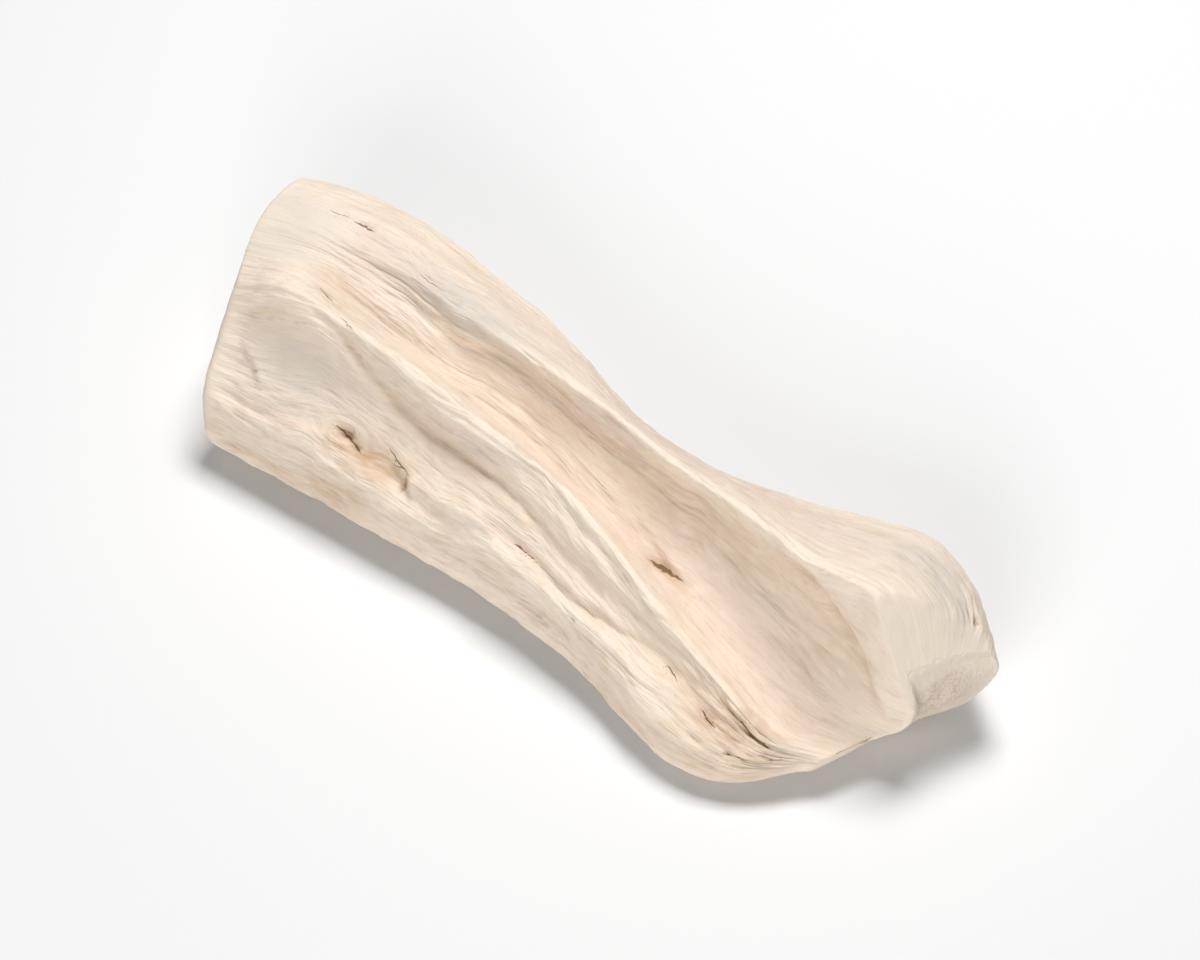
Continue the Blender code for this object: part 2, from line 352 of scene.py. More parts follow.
# Ledges where one side of a line stands proud of the other: width of the step, height (the side
# towards the next grain line is the high one), and places along it.
LEDGES = {
    "crest_start": (0.9, 0.5, ((-50, 4.8), (-42, 5.26), (-35, 5.71), (-27, 5.97), (-20, 6.1))),
    "left_flake": (0.6, 0.45, ((-88, 2.1), (-82, 1.82), (-77, 1.55))),
    "hollow_lip": (0.8, -0.5, ((-88, 1.1), (-74, 1.25), (-63, 1.39), (-55, 1.54))),
    "by_the_knot": (0.6, 0.8, ((-42, 1.56), (-36, 1.43), (-31, 1.26))),
    "below_the_knot": (0.7, 0.5, ((-34, 1.42), (-26, 1.38), (-18, 1.4), (-8, 1.5))),
    "trough_flake": (0.6, 0.5, ((12, 4.35), (20, 4.25), (28, 4.12), (36, 4.15))),
    "lobe_upper": (0.9, 0.5, ((40, 2), (52, 2), (62, 1.85), (74, 1.7))),
    "back_step": (1, 0.6, ((-40, 8.7), (-15, 8.65), (12, 8.7), (30, 8.75))),
}

# Open checks, the dark cracks of dried wood: half width, depth, and places along it.
CHECKS = {
    "trough": (0.34, 0.9, ((23, 3.95), (28, 4.06), (33, 4.11))),
    "top_short": (0.3, 0.6, ((-82.5, 6.75), (-79.5, 6.71), (-76.5, 6.67))),
    "top_thin": (0.12, 0.3, ((-89, 6.82), (-86, 6.79), (-83, 6.76))),
    "top_faint": (0.14, 0.4, ((-61, 6.31), (-57, 6.31), (-53, 6.31))),
    "front_streak": (0.18, 0.4, ((-4, 1.57), (0, 1.57), (4, 1.56))),
    "through_the_knot": (0.36, 0.8, ((-57, 1.6), (-53, 1.54), (-48, 1.44))),
    "by_the_knot": (0.2, 0.5, ((-43, 1.66), (-39, 1.57), (-35, 1.5))),
    "lobe_long": (0.34, 0.9, ((64, 2.41), (68.5, 2.38), (73, 2.32))),
    "lobe_low": (0.28, 0.7, ((55.5, 1.82), (58, 1.75), (61, 1.67))),
    "lobe_lowest": (0.15, 0.5, ((67, 1.36), (69, 1.32), (71, 1.28))),
    "lobe_start": (0.15, 0.5, ((43, 1.92), (45, 1.88), (48, 1.82))),
    "crest_left": (0.2, 0.5, ((-77, 3.83), (-74, 3.77), (-70.5, 3.67))),
    "crest_mark": (0.15, 0.3, ((-67, 3.24), (-64.5, 3.12), (-62, 3))),
    "back_long": (0.4, 1, ((-30, 8.85), (-15, 8.8), (4, 8.85), (14, 8.9))),
    "back_short": (0.35, 0.8, ((48, 8.95), (54, 9), (60, 9.02))),
    "back_foot": (0.35, 0.8, ((-72, 9.6), (-66, 9.6), (-60, 9.65))),
}

# How far a check jumps across the grain, how fast the two waves run that make it jump, in radians a
# millimetre, and half the width of the groove that its lips make.
CHECK_JUMP = 0.2
CHECK_WAVES = (2.2, 0.9)
CHECK_GROOVE = 0.8
# What a point that no check comes near is said to be off it, in half widths.
NO_CHECK = 9.0

# How many step widths a ledge stands proud over.
LEDGE_REACH = 6.0

# The cuts stop where an end face has shrunk to the first share of its rim, and are whole from the
# second share outwards.
CUTS_STOP = 0.6
CUTS_WHOLE = 0.9

# Pits and worm holes: x, place, half length along the grain, half width, depth.
PITS = {
    "knot": (-53.4, 1.56, 2.2, 1, 0.85),
    "knot_low": (-50.2, 1.49, 1.6, 0.8, 0.6),
    "knot_crack": (-35.2, 1.38, 0.7, 1.9, 0.8),
    "bevel_hole": (92.5, 7.7, 0.8, 0.8, 1.2),
    "back_edge_hole": (88, 8.1, 1, 0.8, 1.3),
    "lobe_hole": (75, 1.6, 0.7, 0.7, 1.1),
    "lobe_hole_low": (67, 1.3, 0.8, 0.6, 1),
    "trough_pit": (-34, 3.72, 1.6, 0.8, 0.7),
    "back_hole": (-20, 9.1, 1, 0.8, 1.4),
    "back_hole_small": (34, 8.7, 0.7, 0.7, 1.1),
}

# How the fibres part round the knot: x, place, and the radius of wood that they go round. They part
# this many times further along the grain than across it, and a share of the radius keeps them whole
# at its heart.
KNOT = (-54.0, 1.57, 2.4)
KNOT_STRETCH = 2.2
KNOT_HEART = 0.2

# How the fibres waver: the length of a wave along the grain, how many there are round the wood, and
# how far they sway. The waves set off from this turn round the wood, in radians.
WAVER = ((61.0, 2, 0.9), (23.0, 4, 0.25), (11.0, 7, 0.1))
WAVER_START = 1.7

# Where the wood is torn, worn, greyed, rosy or stained: x, place, half length, half width, strength.
PATCHES = {
    "torn": (
        (64, 2.2, 17, 12, 1),
        (-52, 1.5, 9, 5, 0.45),
        (30, 4, 8, 2.5, 0.5),
        (-72, 3.5, 9, 2.5, 0.5),
    ),
    "worn": (
        (-94, 5.8, 18, 14, 0.9),
        (-74, 2.2, 14, 8, 0.35),
        (86, 6.6, 10, 9, 0.8),
        (84, 4.2, 8, 13, 0.9),
    ),
    "greyed": (
        (-74, 2, 17, 9, 0.9),
        (-44, 6.25, 22, 6, 0.9),
        (-94, 5.6, 14, 12, 0.8),
        (-34, 3.6, 6, 2, 0.6),
        (80, 7.4, 16, 8, 0.9),
        (97, 9.5, 6, 14, 0.5),
        (-30, 9, 60, 14, 0.5),
    ),
    "rosy": (
        (30, 7.2, 60, 7, 0.8),
        (-76, 2.3, 12, 7, 0.5),
        (-86, 6.8, 16, 9, 0.95),
        (20, 4, 22, 5, 0.5),
    ),
    "stained": (
        (-45.5, 1.43, 12, 4.6, 0.9),
        (-38, 1.4, 6, 3, 0.5),
        (62, 1.6, 14, 9, 0.4),
        (-49, 0.68, 11, 5, 0.5),
        (28, 4, 9, 2.5, 0.4),
        (-76, 4.4, 8, 2.4, 0.3),
        (10, 8.8, 14, 6, 0.4),
    ),
}

# Streaks of wood that the sun has bleached, with one streak of painted light among them; of tan wood, partly
# its own colour and partly painted shade;
# and of painted shade in creases, under the upper ridge and low on the front: half width, strength, and
# places along them.
STREAKS = {
    "bleached": (
        (2.6, 0.9, (
            (-88, 3.5), (-71, 3.31), (-59, 3.04), (-45, 2.72), (-33, 2.62), (-20, 2.75), (-6, 2.85),
            (12, 2.95), (34, 3), (56, 3.1),
        )),
        (2.8, 0.7, ((-30, 2.46), (-12, 2.46), (2, 2.42), (14, 2.39), (26, 2.42), (46, 2.8))),
        (3.4, 1, ((-54, 4.9), (-40, 5.4), (-28, 5.9), (0, 6), (30, 6), (60, 5.95), (84, 5.9))),
        (5.5, 1, ((60, 6), (70, 5.8), (80, 5.5), (96, 5.4))),
        (4, 0.6, ((-34, 1.5), (-8, 1.3), (22, 1.25), (50, 1.5))),
        # Painted light: lightens the shaded upper wall of the trough near the left end.
        (2.8, 0.9, ((-80, 4.8), (-64, 4.85), (-50, 4.95), (-40, 5.3))),
    ),
    # Tan streaks, partly the wood's own colour and partly painted shade: on the trough's wall, in the crease
    # under the bevel, along the furrows of the front and in the hollows at the left end.
    "tanned": (
        (4, 0.55, ((-38, 4.5), (-20, 4.75), (-4, 4.9), (28, 5.1), (56, 5.3), (68, 5.2))),
        (3.2, 0.6, ((46, 5.6), (60, 5.5), (70, 5.25), (79, 5.1), (89, 4.8))),
        (1.8, 0.35, ((-80, 2.95), (-66, 2.76), (-46, 2.22), (-23, 2.1), (8, 1.96), (28, 1.9))),
        (1.8, 0.35, ((-14, 1.6), (4, 1.55), (15, 1.42), (30, 1.64), (42, 2), (62, 2.5))),
        (3, 0.5, ((-92, 4.9), (-78, 4.5), (-62, 4.2))),
        (3, 0.9, ((-94, 2.35), (-86, 2.45), (-77, 2.72), (-68, 3))),
    ),
    # Painted shade: darker streaks in the crease under the bevel, along the furrow below the crest, under
    # the upper ridge and low on the front near the foot.
    "browned": (
        (1.6, 0.5, ((52, 5.75), (62, 5.6), (71, 5.36), (80, 5.24), (88, 5))),
        (1.3, 0.35, ((-66, 2.76), (-57, 2.45), (-46, 2.22), (-36, 2.07), (-23, 2.1), (-8, 2.13))),
        (1.6, 0.2, ((-50, 4.75), (-30, 5), (0, 5.25), (28, 5.4), (50, 5.6))),
        (2.6, 0.45, ((-96, 0.6), (-80, 0.45), (-60, 0.4), (-40, 0.4))),
        (2.6, 0.35, ((20, 0.4), (40, 0.4), (60, 0.5), (78, 0.6))),
    ),
}

# How many passes of smoothing a hollow is told from, which sets how broad a hollow counts.
HOLLOW_PASSES = 160

# How far a patch reaches, in its own size, and the powers by which each kind of mark falls away.
PATCH_REACH = 1.4
PATCH_FALL = 1.5
PIT_FALL = 3
CUT_FALL = 0.7
CHECK_FALL = 0.6
STREAK_FALL = 0.5


def run_out(share, fall):
    """1 in the middle of a line and 0 at its ends, by the share along it. A small fall is blunter."""
    return np.sin(np.pi * np.clip(share, 0, 1)) ** fall


class Carving:
    """The depths cut into a loft, and what the cuts leave for the material to read."""

    def __init__(self, loft, depth_scale):
        self.loft = loft
        self.scale = depth_scale
        rings, columns = loft.along.shape
        self.height = np.zeros((rings, columns))
        # A check is drawn where `off_check`, in half widths, is less than `opening`.
        self.off_check = np.full((rings, columns), NO_CHECK)
        self.opening = np.zeros((rings, columns))
        self.hole = np.zeros((rings, columns))
        # Line 0 comes round again after the last line, so places can be read past it.
        self.places = np.append(loft.place, len(GRAIN_LINES))
        self.arounds = np.hstack([loft.around, loft.round_length[:, None]])

    def off_line(self, places):
        """How far each point is across the grain from a line of places, and its share along it."""
        xs, lines = np.array(places, float).T
        line = np.interp(self.loft.along, xs, lines)
        column = np.interp(line, self.places, np.arange(len(self.places)))
        low = np.minimum(column.astype(int), len(self.places) - 2)
        ring = np.arange(len(line))[:, None]
        before, after = self.arounds[ring, low], self.arounds[ring, low + 1]
        across = self.loft.around - before - (column - low) * (after - before)
        # The shorter way round the ring counts.
        girth = self.loft.round_length[:, None]
        across = (across + girth / 2) % girth - girth / 2
        return across, (self.loft.along - xs[0]) / (xs[-1] - xs[0])

    def off_spot(self, x, place):
        """How far each point is along and across the grain from one place."""
        across, _ = self.off_line(((x - 1.0, place), (x + 1.0, place)))
        return self.loft.along - x, across

    def far_off(self, x, place, half_length, half_width):
        """How far each point is from the middle of a spot, as a share of the spot's size."""
        along, across = self.off_spot(x, place)
        return np.hypot(along / half_length, across / half_width)

    def furrow(self, half_width, depth, places):
        """Cuts a rounded furrow that runs out at both ends."""
        across, share = self.off_line(places)
        fade = run_out(share, CUT_FALL)
        self.height -= self.scale * depth * fade * np.exp(-((across / half_width) ** 2))

    def rib(self, half_width, height, places):
        """Raises a rib, which is a furrow the other way up."""
        self.furrow(half_width, -height, places)

    def ledge(self, width, height, places):
        """Raises one side of a line and lowers the other."""
        across, share = self.off_line(places)
        fade = run_out(share, CUT_FALL)
        reach = np.exp(-((across / (LEDGE_REACH * width)) ** 2))
        self.height += self.scale * height * fade * reach * np.tanh(across / width)

    def open_check(self, half_width, depth, places):
        """Sinks the groove of a check's lips and notes how far off its line each point is."""
        across, share = self.off_line(places)
        # A check jumps from fibre to fibre as it runs, and its lips close towards both ends.
        fast, slow = CHECK_WAVES
        across = across + CHECK_JUMP * np.sin(self.loft.along * fast) * np.sin(self.loft.along * slow)
        lens = run_out(share, CHECK_FALL)
        groove = np.exp(-((across / CHECK_GROOVE) ** 2)) * lens
        self.height -= depth * groove
        nearer = (np.abs(across / half_width) < np.abs(self.off_check)) & (lens > 0)
        self.off_check = np.where(nearer, across / half_width, self.off_check)
        self.opening = np.where(nearer, lens, self.opening)

    def pit(self, x, place, half_length, half_width, depth):
        """Sinks a pit or worm hole and notes where it is."""
        hole = np.exp(-(self.far_off(x, place, half_length, half_width) ** PIT_FALL))
        self.height -= depth * hole
        self.hole = np.maximum(self.hole, min(depth, 1.0) * hole)

    def patches(self, spots):
        """A mask from soft-edged spots, each x, place, half length, half width and strength."""
        mask = np.zeros(self.height.shape)
        for *spot, strength in spots:
            near = np.clip(PATCH_REACH - self.far_off(*spot), 0, 1)
            mask = np.maximum(mask, strength * near**PATCH_FALL)
        return np.clip(mask, 0, 1)

    def streaks(self, lines):
        """A mask from soft-edged streaks, each a half width, a strength and places along it."""
        mask = np.zeros(self.height.shape)
        for half_width, strength, places in lines:
            across, share = self.off_line(places)
            fade = run_out(share, STREAK_FALL)
            mask = np.maximum(mask, strength * fade * np.exp(-((across / half_width) ** 2)))
        return mask

    def carve(self):
        """Cuts everything listed above into the loft."""
        for furrow in FURROWS.values():
            self.furrow(*furrow)
        for rib in RIBS.values():
            self.rib(*rib)
        for ledge in LEDGES.values():
            self.ledge(*ledge)
        for check in CHECKS.values():
            self.open_check(*check)
        for hole in PITS.values():
            self.pit(*hole)
        # The cuts run out inside the rims, so that the end faces stay whole.
        sides = np.clip((self.loft.shrink[:, None] - CUTS_STOP) / (CUTS_WHOLE - CUTS_STOP), 0.0, 1.0)
        self.height *= sides
        self.hole *= sides
        self.opening *= sides
        self.loft.points += self.height[..., None] * self.loft.outwards()

    def grain(self):
        """Where each point lies in the grain: X along it, and a circle across it that has no seam."""
        loft = self.loft
        shares = (loft.around / loft.round_length[:, None])[loft.first:loft.last].mean(axis=0)
        radius = loft.round_length[loft.first:loft.last].mean() / (2 * math.pi)
        reach = radius * loft.shrink[:, None]
        x, place, size = KNOT
        along, across = self.off_spot(x, place)
        # The stream lines round a post in slow water, drawn out along the grain.
        off_post = (along / KNOT_STRETCH) ** 2 + across**2
        parted = across * size**2 / (off_post + KNOT_HEART * size**2)
        turn = 2 * math.pi * shares[None, :] - parted / radius
        for length, count, sway in WAVER:
            wave = 2 * math.pi * loft.along / length + count * (turn + WAVER_START)
            turn = turn + sway / radius * np.sin(wave)
        return np.stack([loft.along, reach * np.cos(turn), reach * np.sin(turn)], axis=2)


def hollowness(points, outwards):
    """How far each point lies below the same surface when it is smoothed, in millimetres."""
    smooth = points.copy()
    for _ in range(HOLLOW_PASSES):
        smooth[1:-1] = among_neighbours(smooth)
    return ((smooth - points) * outwards).sum(axis=2)


# ---- Meshes and nodes ----


def linear(hex_colour):
    """An sRGB hex colour as linear red, green and blue."""
    channels = [int(hex_colour[k : k + 2], 16) / 255 for k in (1, 3, 5)]
    return tuple(c / 12.92 if c <= 0.04045 else ((c + 0.055) / 1.055) ** 2.4 for c in channels)


def add_node(tree, kind, inputs=None, **settings):
    """Adds a node with its settings, and gives each input a value, or a link from a socket or node."""
    node = tree.nodes.new(kind)
    for name, value in settings.items():
        setattr(node, name, value)
    for key, value in (inputs or {}).items():
        if isinstance(value, bpy.types.Node):
            value = value.outputs[0]
        if isinstance(value, bpy.types.NodeSocket):
            tree.links.new(value, node.inputs[key])
        else:
            node.inputs[key].default_value = value
    return node


def link_object(name, data):
    """A new object at the origin with that data, in the scene's collection."""
    obj = bpy.data.objects.new(name, data)
    bpy.context.scene.collection.objects.link(obj)
    return obj


def skin_mesh(loft):
    """The loft's grid as a closed mesh in metres, with a point at the middle of each end."""
    rings, columns, _ = loft.points.shape
    ends = np.array([loft.points[0].mean(axis=0), loft.points[-1].mean(axis=0)])
    vertices = np.vstack([loft.points.reshape(-1, 3), ends]) * MM
    here = np.arange(rings * columns).reshape(rings, columns)
    beside = np.roll(here, -1, axis=1)
    quads = np.stack([here[:-1], here[1:], beside[1:], beside[:-1]], axis=-1).reshape(-1, 4).tolist()
    left_tip, right_tip = rings * columns, rings * columns + 1
    left_fan = [(a, b, left_tip) for a, b in zip(here[0].tolist(), beside[0].tolist())]
    right_fan = [(b, a, right_tip) for a, b in zip(here[-1].tolist(), beside[-1].tolist())]
    mesh = bpy.data.meshes.new(PIECE)
    mesh.from_pydata(vertices.tolist(), [], quads + left_fan + right_fan)
    mesh.update()
    return mesh


def store(mesh, name, values):
    """Stores a value or vector for each point of the loft's grid, and their mean at its two tips."""
    values = np.asarray(values, float)
    flat = values.reshape(values.shape[0] * values.shape[1], -1)
    tips = np.stack([values[0].mean(axis=0), values[-1].mean(axis=0)]).reshape(2, -1)
    flat = np.vstack([flat, tips])
    kind, key = ("FLOAT_VECTOR", "vector") if flat.shape[1] == 3 else ("FLOAT", "value")
    attribute = mesh.attributes.new(name, kind, "POINT")
    attribute.data.foreach_set(key, flat.ravel())


# ---- The relief that follows the grain everywhere ----

# Each layer of relief: its name, its spacing across the grain and its depth in millimetres, how many
# times longer than wide its marks are, its noise detail, and the attribute that masks it, if any.
RELIEF = (
    ("Swell", 16.0, 1.2, 2.4, 1.0, None),
    ("Rib", 5.4, 0.8, 4.5, 2.0, None),
    ("Fleck", 2.6, 0.42, 3.0, 2.0, None),
    ("Fibre", 1.7, 0.16, 7.0, 2.0, None),
    ("Dimple", 4.2, 0.4, 1.5, 2.0, None),
    ("Tear", 1.8, 1.2, 4.2, 3.0, "torn"),
)

# Hairline furrows run where a slow noise crosses its middle value. Their spacing and depth are in
# millimetres, and their width is the span of noise on either side of the middle that they take up.
HAIRLINE_SPACING = 7.0
HAIRLINE_DEPTH = 0.35
HAIRLINE_STRETCH = 16.0
HAIRLINE_WIDTH = 0.022
HAIRLINE_DETAIL = 2.0

# The noise that makes the full depth of a layer lies between these two values, and each layer reads
# the noise this much further on than the last, so that no two are alike.
NOISE_LOW = 0.28
NOISE_HIGH = 0.72
LAYER_STEP = 7.3
# The share of the relief that is left where the wood is worn.
WORN_RELIEF = 0.25
# Points closer than this, in millimetres, are welded.
WELD = 0.12


def relief_tree(settings):
    """Geometry Nodes that raise the relief along the stored grain and give the wood its material."""
    tree = bpy.data.node_groups.new("Weathered relief", "GeometryNodeTree")
    face = tree.interface
    face.new_socket(name="Geometry", in_out="OUTPUT", socket_type="NodeSocketGeometry")
    face.new_socket(name="Geometry", in_out="INPUT", socket_type="NodeSocketGeometry")
    values = {"Seed": settings.seed, "Hairline depth": HAIRLINE_DEPTH * settings.relief}
    for name, spacing, depth, _, _, _ in RELIEF:
        values[name + " spacing"] = spacing
        values[name + " depth"] = depth * settings.relief
    for name in values:
        face.new_socket(name=name, in_out="INPUT", socket_type="NodeSocketFloat")
    face.new_socket(name="Material", in_out="INPUT", socket_type="NodeSocketMaterial")

    inputs = add_node(tree, "NodeGroupInput").outputs
    stored = {}
    for name, kind in (("grain", "FLOAT_VECTOR"), ("torn", "FLOAT"), ("worn", "FLOAT")):
        stored[name] = add_node(tree, "GeometryNodeInputNamedAttribute", {"Name": name}, data_type=kind)

    height = 0.0
    for layer, (name, _, _, stretch, detail, mask) in enumerate(RELIEF):
        across = inputs[name + " spacing"]
        along = add_node(tree, "ShaderNodeMath", {0: across, 1: stretch}, operation="MULTIPLY")
        size = add_node(tree, "ShaderNodeCombineXYZ", {0: along, 1: across, 2: across})
        place = add_node(tree, "ShaderNodeVectorMath", {0: stored["grain"], 1: size}, operation="DIVIDE")
        seed = add_node(tree, "ShaderNodeMath", {0: inputs["Seed"], 1: LAYER_STEP * layer}, operation="ADD")
        drawn = {"Vector": place, "W": seed, "Scale": 1.0, "Detail": detail}
        noise = add_node(tree, "ShaderNodeTexNoise", drawn, noise_dimensions="4D")
        span = {"From Min": NOISE_LOW, "From Max": NOISE_HIGH, "To Min": -0.5, "To Max": 0.5}
        wave = add_node(tree, "ShaderNodeMapRange", {"Value": noise, **span})
        rise = add_node(tree, "ShaderNodeMath", {0: wave, 1: inputs[name + " depth"]}, operation="MULTIPLY")
        if mask:
            rise = add_node(tree, "ShaderNodeMath", {0: rise, 1: stored[mask]}, operation="MULTIPLY")
        height = add_node(tree, "ShaderNodeMath", {0: height, 1: rise}, operation="ADD")

    size = (HAIRLINE_SPACING * HAIRLINE_STRETCH, HAIRLINE_SPACING, HAIRLINE_SPACING)
    place = add_node(tree, "ShaderNodeVectorMath", {0: stored["grain"], 1: size}, operation="DIVIDE")
    drawn = {"Vector": place, "W": inputs["Seed"], "Scale": 1.0, "Detail": HAIRLINE_DETAIL}
    noise = add_node(tree, "ShaderNodeTexNoise", drawn, noise_dimensions="4D")
    off_middle = add_node(tree, "ShaderNodeMath", {0: noise, 1: 0.5}, operation="SUBTRACT")
    distance = add_node(tree, "ShaderNodeMath", {0: off_middle}, operation="ABSOLUTE")
    span = {"From Min": 0.0, "From Max": HAIRLINE_WIDTH, "To Min": -1.0, "To Max": 0.0}
    hairline = add_node(
        tree, "ShaderNodeMapRange", {"Value": distance, **span}, interpolation_type="SMOOTHSTEP"
    )
    cut = add_node(tree, "ShaderNodeMath", {0: hairline, 1: inputs["Hairline depth"]}, operation="MULTIPLY")
    height = add_node(tree, "ShaderNodeMath", {0: height, 1: cut}, operation="ADD")

    # Where the wood is worn it is smoother than elsewhere.
    span = {"To Min": 1.0, "To Max": WORN_RELIEF}
    left = add_node(tree, "ShaderNodeMapRange", {"Value": stored["worn"], **span})
    height = add_node(tree, "ShaderNodeMath", {0: height, 1: left}, operation="MULTIPLY")

    skin = {"Geometry": inputs["Geometry"], "Distance": WELD * MM}
    welded = add_node(tree, "GeometryNodeMergeByDistance", skin)
    relief = {"Geometry": welded, "Name": "relief", "Value": height}
    noted = add_node(tree, "GeometryNodeStoreNamedAttribute", relief, data_type="FLOAT", domain="POINT")
    normal = add_node(tree, "GeometryNodeInputNormal")
    metres = add_node(tree, "ShaderNodeMath", {0: height, 1: MM}, operation="MULTIPLY")
    offset = add_node(tree, "ShaderNodeVectorMath", {0: normal, "Scale": metres}, operation="SCALE")
    raised = add_node(tree, "GeometryNodeSetPosition", {"Geometry": noted, "Offset": offset})
    # Nothing sinks below the plane that the wood rests on.
    position = add_node(tree, "GeometryNodeInputPosition")
    x, y, z = add_node(tree, "ShaderNodeSeparateXYZ", {0: position}).outputs
    rested = add_node(tree, "ShaderNodeMath", {0: z, 1: 0.0}, operation="MAXIMUM")
    level = add_node(tree, "ShaderNodeCombineXYZ", {0: x, 1: y, 2: rested})
    flat = add_node(tree, "GeometryNodeSetPosition", {"Geometry": raised, "Position": level})
    real = add_node(tree, "GeometryNodeRealizeInstances", {"Geometry": flat})
    finish = {"Geometry": real, "Material": inputs["Material"]}
    painted = add_node(tree, "GeometryNodeSetMaterial", finish)
    add_node(tree, "NodeGroupOutput", {"Geometry": painted})
    return tree, values


# ---- The finish ----

# Patterns in the finish: name, size along the grain and across it in millimetres, and noise detail.
# The pores of such wood are about 0.1 mm wide, and are drawn 0.35 mm wide so that they show.
PATTERNS = (
    ("clouds", 38.0, 11.0, 3.0),
    ("bands", 40.0, 3.4, 3.0),
    ("flecks", 6.0, 1.8, 2.0),
    ("fibres", 10.0, 0.85, 3.0),
    ("threads", 4.0, 0.4, 2.0),
    ("pores", 2.4, 0.35, 1.0),
)

# The coats of colour, from the bare face up. Each shows where what it reads goes from the first value
# to the second, between the least and the most that are given after them, and only inside the patch
# or streak named next, if there is one. The last word is its colour.
COATS = (
    ("clouds", 0.42, 0.66, 0.0, 0.5, None, "rosy"),
    ("clouds", 0.3, 0.6, 0.3, 0.9, "rosy", "rosy"),
    # Honey where the surface lies below its smoothed self.
    ("hollow", 0.1, 1.6, 0.0, 0.3, None, "honey"),
    # Honey in the tan streaks: partly the wood's own colour, partly painted shade.
    ("clouds", 0.25, 0.6, 0.35, 0.85, "tanned", "honey"),
    ("bands", 0.5, 0.7, 0.0, 0.25, None, "honey"),
    # Cream in the bleached streaks: sun bleaching on the crests and ridges, and painted light in the one
    # streak on the trough's wall at the left.
    ("clouds", 0.7, 0.4, 0.35, 0.75, "bleached", "cream"),
    # Cream where the surface stands above its smoothed self.
    ("hollow", -0.15, -0.7, 0.0, 0.6, None, "cream"),
    ("flecks", 0.54, 0.72, 0.0, 0.5, None, "honey"),
    ("flecks", 0.46, 0.3, 0.0, 0.4, None, "cream"),
    ("fibres", 0.54, 0.74, 0.0, 0.22, None, "tan"),
    ("fibres", 0.46, 0.3, 0.0, 0.25, None, "cream"),
    ("relief", -0.3, -1.0, 0.0, 0.2, None, "tan"),
    ("broken", 0.1, 0.9, 0.0, 1.0, None, "cream"),
    ("clouds", 0.3, 0.6, 0.35, 0.7, "worn", "cream"),
    ("clouds", 0.3, 0.6, 0.35, 0.9, "greyed", "silver"),
    ("flecks", 0.42, 0.62, 0.0, 0.35, "torn", "tan"),
    ("flecks", 0.35, 0.65, 0.4, 0.8, "stained", "stain"),
    # Painted shade: tan in the creases, under the upper ridge and low on the front.
    ("flecks", 0.3, 0.65, 0.5, 1.0, "browned", "tan"),
    ("pores", 0.66, 0.74, 0.0, 0.3, "patchy", "tan"),
    ("threads", 0.35, 0.6, 0.55, 1.0, "hole", "dark"),
    ("check", -0.15, 0.25, 0.0, 0.92, None, "dark"),
)

# The pores keep to patches, which open between these values of the clouds.
PATCHY_FROM = 0.35
PATCHY_TO = 0.62
# The lips of a check are ragged, between these shares of its width.
LIP_LEAST = 0.5
LIP_MOST = 1.4
# The wood is matt, and its smoothest bands are a little less so.
SMOOTH_BANDS = 0.72
ROUGH_BANDS = 0.92
# How high the threads and flecks stand against the fibres, and the height of the fibres in
# millimetres, which is felt at the first strength on rough wood and at the second on worn wood.
THREAD_HEIGHT = 0.45
FLECK_HEIGHT = 1.2
FIBRE_HEIGHT = 0.8
ROUGH_STRENGTH = 0.6
WORN_STRENGTH = 0.15


